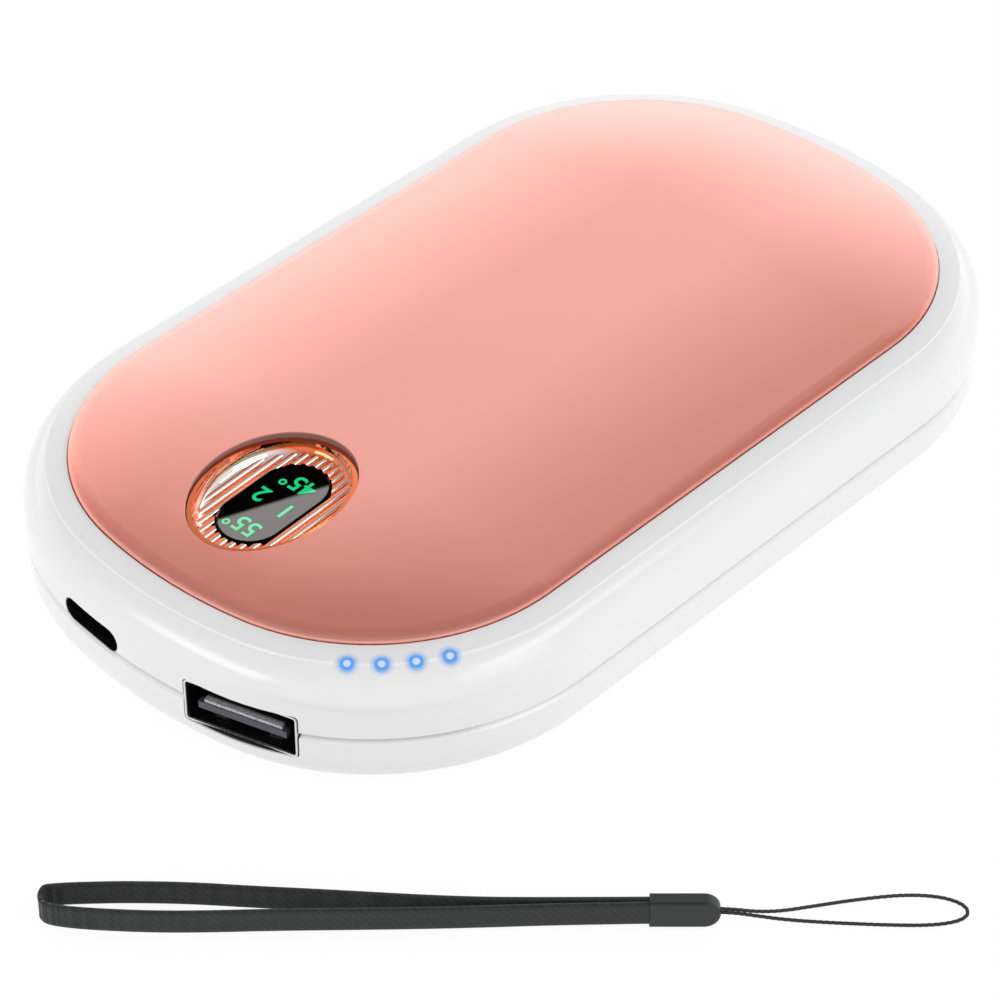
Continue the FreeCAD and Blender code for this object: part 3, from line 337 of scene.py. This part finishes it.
def socket_steel_finish():
    """Tinned steel, with painted shade: black inside the two socket mouths."""
    material, tree, shader, tone = finish(
        "socket_steel", (0.66, 0.67, 0.69), (0.74, 0.75, 0.77), (0.22, 0.30), bump=0.02)
    # Painted shade: black on the larger socket's inner walls and all over the smaller socket, where shade falls
    # inside them.
    across, inward, up = socket_frame(tree)
    reach = socket_reach(tree, across, up, larger_half_width, larger_half_height)
    on_wall = tree.math("MULTIPLY", tree.span(reach, 0.965, 0.975, 0.0, 1.0),
                        tree.span(reach, 1.015, 1.025, 1.0, 0.0))
    lining_shade = tree.math("MULTIPLY", on_wall, tree.span(inward, 0.08, 0.2, 0.0, 1.0))
    place = tree.coordinate("Object")
    spot = tuple(value * mm for value in smaller_socket)
    away = tree.vector("DISTANCE", place, spot, "Value")
    smaller = tree.span(away, smaller_mouth_reach * mm, (smaller_mouth_reach + 0.5) * mm, 1.0, 0.0)
    dark = tree.math("MAXIMUM", lining_shade, smaller)
    feed(tree, shader, Base_Color=tree.mix(dark, tone, socket_shade_black),
         Metallic=tree.span(dark, 0.0, 1.0, 1.0, 0.0))
    return material


def tongue_finish():
    """Blue-grey tongue, painted pale on its top face near the front as if lit from above, and painted shade,
    black, further in.
    """
    material, tree, shader, tone = finish(
        "socket_plastic", (0.060, 0.063, 0.085), (0.075, 0.078, 0.105), (0.40, 0.52), bump=0.02)
    _, inward, up = socket_frame(tree)
    # Painted light: the tongue's top face is made pale and speckled, as if lit from above.
    lit_top = tree.span(up, tongue_top + 0.01, tongue_top + 0.03, 0.0, 1.0)
    grain = tree.add("ShaderNodeTexNoise", {"Vector": tree.coordinate("Object"), "Scale": 4500.0})
    speckle = tree.span(grain.outputs[0], 0.35, 0.65, 0.0, 1.0)
    pale = tree.mix(speckle, (0.38, 0.38, 0.41, 1.0), (0.72, 0.72, 0.77, 1.0))
    # Painted shade: black further in, where shade falls inside the socket.
    deep_shade = tree.span(inward, tongue_front + 0.55, tongue_front + 0.95, 0.0, 1.0)
    feed(tree, shader, Base_Color=tree.mix(deep_shade, tree.mix(lit_top, tone, pale), (0.004, 0.004, 0.005, 1.0)))
    return material


def digit_finish():
    """Lit numerals, a little uneven as the lamp behind them is."""
    material, tree, shader, tone = finish(
        "lit_numerals", (0.011, 0.58, 0.20), (0.014, 0.66, 0.24), (0.004, 0.008), grain=3000, mottle=420,
        bump=0.002)
    feed(tree, shader, Base_Color=tree.mix(0.95, tone, black), Emission_Color=tone, Emission_Strength=1.0)
    return material


def webbing_finish():
    """Narrow woven tape: diagonal twill with single yarns, on the tape's own lengthwise map."""
    material, tree, shader = new_material("strap_fabric")
    run = tree.coordinate("UV")
    scaled = tree.add("ShaderNodeMapping", {"Vector": run, "Scale": (1000, 1000, 1000)}).outputs[0]
    twill = tree.add("ShaderNodeTexWave", {"Vector": scaled, "Scale": 0.75, "Distortion": 0.6, "Detail": 2.0},
                     wave_type="BANDS", bands_direction="DIAGONAL").outputs["Fac"]
    yarns = tree.add("ShaderNodeTexWave", {"Vector": scaled, "Scale": 1.5, "Distortion": 0.4, "Detail": 1.0},
                     wave_type="BANDS", bands_direction="X").outputs["Fac"]
    fuzz = tree.add("ShaderNodeTexNoise", {"Vector": scaled, "Scale": 6.0, "Detail": 4.0}).outputs[0]
    height = tree.math("ADD", tree.math("MULTIPLY", twill, 0.6), tree.math("MULTIPLY", yarns, 0.4))
    height = tree.math("ADD", height, tree.math("MULTIPLY", fuzz, 0.35))
    tone = tree.ramp(tree.span(height, 0.2, 1.1, 0.0, 1.0), (
        (0.0, (0.007, 0.0085, 0.0082)), (0.5, (0.011, 0.0135, 0.013)), (1.0, (0.018, 0.0215, 0.0205))))
    feed(tree, shader, Base_Color=tone, Roughness=tree.span(fuzz, 0.3, 0.7, 0.62, 0.85),
         Normal=tree.relief(height, 0.3, 0.00008), Sheen_Weight=0.15)
    return material


def cord_finish():
    """Thin twisted cord; the twist itself is in the mesh."""
    material, tree, shader = new_material("strap_cord_fabric")
    run = tree.coordinate("UV")
    scaled = tree.add("ShaderNodeMapping", {"Vector": run, "Scale": (1000, 1000, 1000)}).outputs[0]
    fibres = tree.add("ShaderNodeTexNoise", {"Vector": scaled, "Scale": 5.0, "Detail": 3.0}).outputs[0]
    tone = tree.ramp(fibres, ((0.3, (0.012, 0.012, 0.012)), (0.7, (0.032, 0.032, 0.033))))
    feed(tree, shader, Base_Color=tone, Roughness=tree.span(fibres, 0.3, 0.7, 0.5, 0.75),
         Normal=tree.relief(fibres, 0.3, 0.00003))
    return material


def inner_finishes():
    """Finishes of the pieces inside the shells and in the sockets."""
    table = {
        "legend_film": ((0.05, 0.25, 0.14), (0.06, 0.28, 0.16), (0.45, 0.55), {}),
        "light_white": ((0.90, 0.90, 0.88), (0.94, 0.94, 0.92), (0.45, 0.55), {}),
        "heater_film": ((0.50, 0.28, 0.07), (0.60, 0.36, 0.10), (0.30, 0.42), {}),
        "foam": ((0.22, 0.22, 0.23), (0.28, 0.28, 0.29), (0.85, 0.95),
                 dict(bump=0.6, grain=1800, depth=0.0001)),
        "cell_foil": ((0.68, 0.69, 0.71), (0.76, 0.77, 0.79), (0.30, 0.42), dict(Metallic=1.0)),
        "tray_grey": ((0.28, 0.29, 0.31), (0.32, 0.33, 0.35), (0.50, 0.62), {}),
        "board_green": ((0.03, 0.22, 0.10), (0.05, 0.26, 0.13), (0.30, 0.42), {}),
        "dark_chip": ((0.04, 0.04, 0.05), (0.06, 0.06, 0.07), (0.45, 0.60), {}),
        "capacitor_tan": ((0.52, 0.42, 0.29), (0.58, 0.48, 0.35), (0.35, 0.48), {}),
        "black_plastic": ((0.010, 0.0115, 0.0112), (0.015, 0.0168, 0.0164), (0.40, 0.52),
                          dict(bump=0.1, grain=4000)),
        "contact_brass": ((0.76, 0.58, 0.26), (0.84, 0.66, 0.34), (0.20, 0.30), dict(Metallic=1.0)),
        "screw_steel": ((0.52, 0.53, 0.55), (0.60, 0.61, 0.63), (0.25, 0.38), dict(Metallic=1.0)),
        "lead_red": ((0.50, 0.05, 0.04), (0.60, 0.07, 0.06), (0.35, 0.50), {}),
    }
    made = {}
    for name, (colour, other, rough, more) in table.items():
        made[name] = finish(name, colour, other, rough, **more)[0]
    return made


finishes = inner_finishes()
finishes["white_gloss"] = white_shell_finish()
finishes["rose_aluminium"] = rose_plate_finish()
finishes["copper_mirror"] = copper_frame_finish()
finishes["dark_window"] = window_finish()
finishes["light_pipe"] = light_dot_finish()
finishes["socket_steel"] = socket_steel_finish()
finishes["socket_plastic"] = tongue_finish()
finishes["strap_fabric"] = webbing_finish()
finishes["strap_cord_fabric"] = cord_finish()
lit_numerals = digit_finish()

for entry in frame["record"]["subparts"]:
    node = nodes[entry["node"]]
    node.data.materials.clear()
    node.data.materials.append(finishes[entry["material_slot"]])


def new_piece(name, mesh, material, body):
    mesh.materials.clear()
    mesh.materials.append(material)
    piece = bpy.data.objects.new(name, mesh)
    scene.collection.objects.link(piece)
    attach(piece, body)
    return piece


def strap_place(along, reach, height):
    x = along * math.cos(strap_turn) + reach * math.sin(strap_turn)
    y = along * math.sin(strap_turn) - reach * math.cos(strap_turn)
    return Vector((x, y, height)) * mm


def smooth_line(name, points, steps):
    """Points read from a smooth curve through the strap's route."""
    curve = bpy.data.curves.new(name, "CURVE")
    curve.dimensions = "3D"
    spline = curve.splines.new("NURBS")
    spline.points.add(len(points) - 1)
    for control, point in zip(spline.points, points):
        control.co = (*strap_place(*point), 1.0)
    spline.order_u = 3
    spline.use_endpoint_u = True
    spline.resolution_u = steps
    holder = bpy.data.objects.new(name, curve)
    scene.collection.objects.link(holder)
    line = bpy.data.meshes.new_from_object(holder)
    places = [v.co.copy() for v in line.vertices]
    bpy.data.objects.remove(holder)
    bpy.data.curves.remove(curve)
    bpy.data.meshes.remove(line)
    return places


def put_in_order(bm, rings):
    """Numbers a swept mesh ring by ring, because extruding leaves its edges and faces in no set order."""
    for number, vert in enumerate(vert for ring in rings for vert in ring):
        vert.index = number

    def first_and_last(element):
        numbers = [vert.index for vert in element.verts]
        return min(numbers) * len(bm.verts) + max(numbers)

    bm.edges.sort(key=first_and_last)
    bm.faces.sort(key=first_and_last)
    bm.verts.sort()


def swept_mesh(name, line, section, twist=0.0):
    """Carries a closed section along the line by extruding it, with a lengthwise map in metres.

    The section is asked for at the angle that it has turned through: twist, in radians for each metre.
    """
    bm = bmesh.new()
    map_layer = bm.loops.layers.uv.new("run")
    outline = section(0.0)
    count = len(outline)
    edge_run = [0.0]
    for k in range(count):
        edge_run.append(edge_run[-1] + (outline[(k + 1) % count] - outline[k]).length)
    rings = []
    travelled = [0.0]
    for i, point in enumerate(line):
        ahead = (line[min(i + 1, len(line) - 1)] - line[max(i - 1, 0)]).normalized()
        side = ahead.cross(Vector((0, 0, 1))).normalized()
        up = side.cross(ahead)
        if i:
            travelled.append(travelled[-1] + (point - line[i - 1]).length)
        places = [point + side * p.x + up * p.y for p in section(travelled[-1] * twist)]
        if not rings:
            rings.append([bm.verts.new(p) for p in places])
            cap = bm.faces.new(rings[0])
            continue
        made = bmesh.ops.extrude_face_region(bm, geom=[cap], use_keep_orig=(i == 1))["geom"]
        cap = [g for g in made if isinstance(g, bmesh.types.BMFace)][0]
        order = []
        for vert in rings[-1]:
            order.append([e.other_vert(vert) for e in vert.link_edges if e.other_vert(vert) in cap.verts][0])
        for vert, p in zip(order, places):
            vert.co = p
        rings.append(order)
    bmesh.ops.recalc_face_normals(bm, faces=bm.faces)
    where = {v: (i, k) for i, ring in enumerate(rings) for k, v in enumerate(ring)}
    for face in bm.faces:
        if len(face.verts) != 4:
            continue
        wraps = {where[v][1] for v in face.verts} == {0, count - 1}
        for loop in face.loops:
            i, k = where[loop.vert]
            loop[map_layer].uv = (travelled[i], edge_run[count if wraps and k == 0 else k])
    put_in_order(bm, rings)
    mesh = bpy.data.meshes.new(name)
    bm.to_mesh(mesh)
    bm.free()
    for polygon in mesh.polygons:
        polygon.use_smooth = len(polygon.vertices) == 4
    return mesh


def tape_section(_turned):
    """Flat woven tape on its edge, with round selvedges; it doesn't turn."""
    half, thick = band_width / 2 * mm, band_thickness / 2 * mm
    bow, bead, hollow = 0.62, 0.86, 0.5
    side = ((thick * bow, -half), (thick, -half * bead), (thick * bead, -half * hollow),
            (thick * bead, half * hollow), (thick, half * bead), (thick * bow, half))
    other = tuple((-x, -y) for x, y in side)
    return [Vector(p) for p in side + other]


def cord_section(turned):
    """Three twisted strands."""
    radius, strands, corners, lobe = cord_diameter / 2 * mm, 3, 18, 0.1
    spots = []
    for k in range(corners):
        a = 2 * math.pi * k / corners
        swell = 1 - lobe + lobe * math.cos(strands * (a - turned))
        spots.append(Vector((math.cos(a), math.sin(a))) * radius * swell)
    return spots


band_line = smooth_line("tape_route", band_points, 12)
cord_line = smooth_line("cord_route", cord_points, 14)
strap_tape = new_piece("strap_tape", swept_mesh("strap_tape", band_line, tape_section),
                       finishes["strap_fabric"], "wrist_strap")
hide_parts("strap_webbing")
cord_mesh = swept_mesh("strap_loop", cord_line, cord_section, 2 * math.pi / (cord_twist * mm))
strap_loop = new_piece("strap_loop", cord_mesh, finishes["strap_cord_fabric"], "wrist_strap")
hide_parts("strap_cord")


def window_numerals():
    """Plain numbers shown in the window, read from the end away from the sockets."""
    bm = bmesh.new()
    turned = Matrix.Translation(Vector(button_pivot) * mm) @ Matrix.Rotation(button_tilt, 4, "X")
    for text, x, y in numeral_places:
        words = bpy.data.curves.new("numeral", "FONT")
        words.body = text
        words.size = numeral_height * mm
        words.align_x = "CENTER"
        words.align_y = "CENTER"
        words.extrude = 0.01 * mm
        words.offset = 0.04 * mm
        holder = bpy.data.objects.new("numeral", words)
        scene.collection.objects.link(holder)
        bpy.context.view_layer.update()
        mesh = bpy.data.meshes.new_from_object(holder.evaluated_get(bpy.context.evaluated_depsgraph_get()))
        place = Matrix.Translation(Vector((x, y, 0.02 - window_drop)) * mm) @ Matrix.Rotation(math.pi, 4, "Z")
        mesh.transform(turned @ place)
        bm.from_mesh(mesh)
        bpy.data.objects.remove(holder)
        bpy.data.curves.remove(words)
        bpy.data.meshes.remove(mesh)
    bmesh.ops.remove_doubles(bm, verts=bm.verts, dist=0.000002)
    mesh = bpy.data.meshes.new("window_numerals")
    bm.to_mesh(mesh)
    bm.free()
    return mesh


numerals = new_piece("window_numerals", window_numerals(), lit_numerals, "button")


def floor():
    bm = bmesh.new()
    bmesh.ops.create_grid(bm, x_segments=4, y_segments=4, size=4.0)
    bmesh.ops.translate(bm, verts=bm.verts, vec=(0, 0, -0.0001))
    mesh = bpy.data.meshes.new("floor")
    bm.to_mesh(mesh)
    bm.free()
    material, tree, shader = new_material("pale_floor")
    place = tree.coordinate("Object")
    drift = tree.add("ShaderNodeTexNoise", {"Vector": place, "Scale": 3.0, "Detail": 2.0}).outputs[0]
    tone = tree.mix(drift, (0.93, 0.93, 0.93, 1.0), (0.95, 0.95, 0.95, 1.0))
    feed(tree, shader, Base_Color=tone, Roughness=0.8, Specular_IOR_Level=0.0)
    ray = tree.add("ShaderNodeLightPath").outputs
    mirrored = tree.math("ADD", ray["Is Glossy Ray"], ray["Is Transmission Ray"])
    seen = tree.math("ADD", ray["Is Camera Ray"], mirrored)
    share = tree.math("MULTIPLY", tree.math("MINIMUM", seen, 1.0), 0.85)
    plain = tree.add("ShaderNodeEmission", {"Color": (1, 1, 1, 1), "Strength": 1.06})
    both = tree.add("ShaderNodeMixShader", {0: share, 1: shader.outputs[0], 2: plain.outputs[0]})
    tree.tree.links.new(both.outputs[0], tree.tree.nodes["Material Output"].inputs["Surface"])
    piece = bpy.data.objects.new("floor", mesh)
    mesh.materials.append(material)
    scene.collection.objects.link(piece)


def studio_world():
    """Pale room: bright low down, darker overhead, brightest low behind the left, with a small split panel.

    The panel is what the window mirrors in the photograph's view: bright on one side and dark on the other.
    """
    world = bpy.data.worlds.new("studio")
    world.use_nodes = True
    scene.world = world
    tree = Tree(world.node_tree)
    way = tree.coordinate("Generated")
    rise = tree.add("ShaderNodeSeparateXYZ", {0: way}).outputs["Z"]
    room = tree.ramp(rise, ((0.0, (0.85, 0.85, 0.85)), (0.3, (0.78, 0.78, 0.78)), (0.55, (0.52, 0.52, 0.52)),
                            (0.8, (0.425, 0.425, 0.425))))
    low_behind = (-0.55, 0.60, -0.58)
    panel_middle, panel_side = (-0.5667, 0.4597, 0.6837), (-0.6157, 0.3152, -0.7222)
    glow = tree.ramp(tree.dot(way, low_behind), ((0.0, (0.04, 0.04, 0.04)), (0.26, (0.45, 0.45, 0.45)),
                                                 (0.5, (1.0, 1.0, 1.0)), (0.8, (1.0, 1.0, 1.0))))
    both = tree.mix(1.0, room, glow, "ADD")
    split = tree.span(tree.dot(way, panel_side), -0.0004, 0.0004, 0.0, 1.0)
    panel = tree.mix(split, (4.2, 4.0, 3.9, 1.0), (0.01, 0.01, 0.01, 1.0))
    on_panel = tree.span(tree.dot(way, panel_middle), 0.9990, 0.9994, 0.0, 1.0)
    both = tree.mix(on_panel, both, panel)
    back = world.node_tree.nodes["Background"]
    world.node_tree.links.new(both, back.inputs["Color"])
    back.inputs["Strength"].default_value = 1.0


def softbox(name, place, target, width, height, brightness):
    """Area lamp whose own surface has that brightness."""
    lamp = bpy.data.lights.new(name, "AREA")
    lamp.shape = "RECTANGLE"
    lamp.size, lamp.size_y = width, height
    lamp.energy = brightness * math.pi * width * height
    piece = bpy.data.objects.new(name, lamp)
    piece.location = place
    piece.rotation_euler = (Vector(target) - Vector(place)).to_track_quat("-Z", "Y").to_euler()
    scene.collection.objects.link(piece)
    return piece


def lights():
    """Three softboxes for the white shells, the button and the strap; the room alone lights the satin plate."""
    boxes = (softbox("front_box", (-0.17, -0.66, 0.20), (0.0, -0.03, 0.0), 0.46, 0.18, 3.5),
             softbox("right_box", (0.60, 0.0, 0.26), (0.0, 0.0, 0.0), 0.40, 0.26, 1.4),
             softbox("top_right_box", (0.48, 0.15, 0.41), (0.0, 0.0, 0.0), 0.48, 0.13, 3.0))
    shaded = bpy.data.collections.new("shaded_from_softboxes")
    shaded.objects.link(nodes["top_plate"])
    shaded.collection_objects[0].light_linking.link_state = "EXCLUDE"
    for box in boxes:
        box.light_linking.receiver_collection = shaded


def camera():
    data = bpy.data.cameras.new("camera")
    data.lens, data.sensor_width = 135.97, 36.0
    data.clip_start = 0.01
    piece = bpy.data.objects.new("camera", data)
    piece.location = (0.21416, -0.23611, 0.25517)
    looks_down, turn = 39.23, 42.53
    piece.rotation_euler = (math.radians(90 - looks_down), 0.0, math.radians(turn))
    scene.collection.objects.link(piece)
    scene.camera = piece


floor()
studio_world()
lights()
camera()
